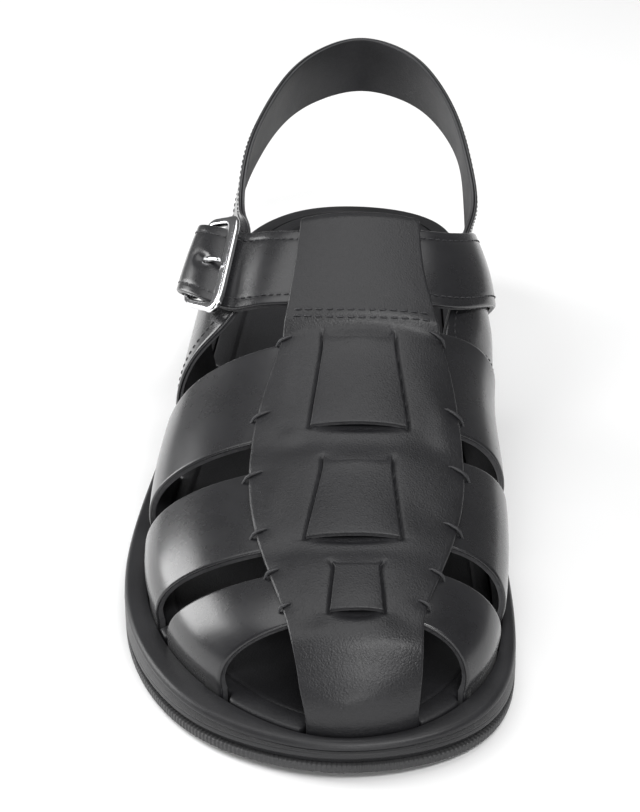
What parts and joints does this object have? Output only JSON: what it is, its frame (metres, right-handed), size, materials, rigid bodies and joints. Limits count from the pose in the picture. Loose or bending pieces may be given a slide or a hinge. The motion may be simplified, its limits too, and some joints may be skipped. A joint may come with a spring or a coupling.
{
  "type": "fisherman sandal",
  "caption": "Closed-toe fisherman sandal with a woven leather front, a buckled instep strap and an open heel strap; the right shoe, empty",
  "frame": {"origin": "on the ground under the middle of the shoe's bounding box", "axes": "toe towards -Y, heel towards +Y, up +Z, inner (big toe) side towards +X"},
  "size_m": [0.1095, 0.292, 0.0913],
  "materials": {
    "outsole_finish": "satin black",
    "midsole_finish": "satin black",
    "footbed_finish": "smooth black",
    "upper_finish": "semi-gloss black, fine grain",
    "instep_strap_finish": "semi-gloss black, fine grain",
    "back_strap_finish": "semi-gloss black, fine grain",
    "buckle_frame_finish": "polished",
    "buckle_prong_finish": "polished"
  },
  "bodies": {
    "root": {"outsole": "outsole_finish", "midsole": "midsole_finish", "footbed": "footbed_finish", "upper": "upper_finish", "instep_strap": "instep_strap_finish", "back_strap": "back_strap_finish", "buckle_frame": "buckle_frame_finish", "buckle_prong": "buckle_prong_finish"}
  },
  "joints": []
}
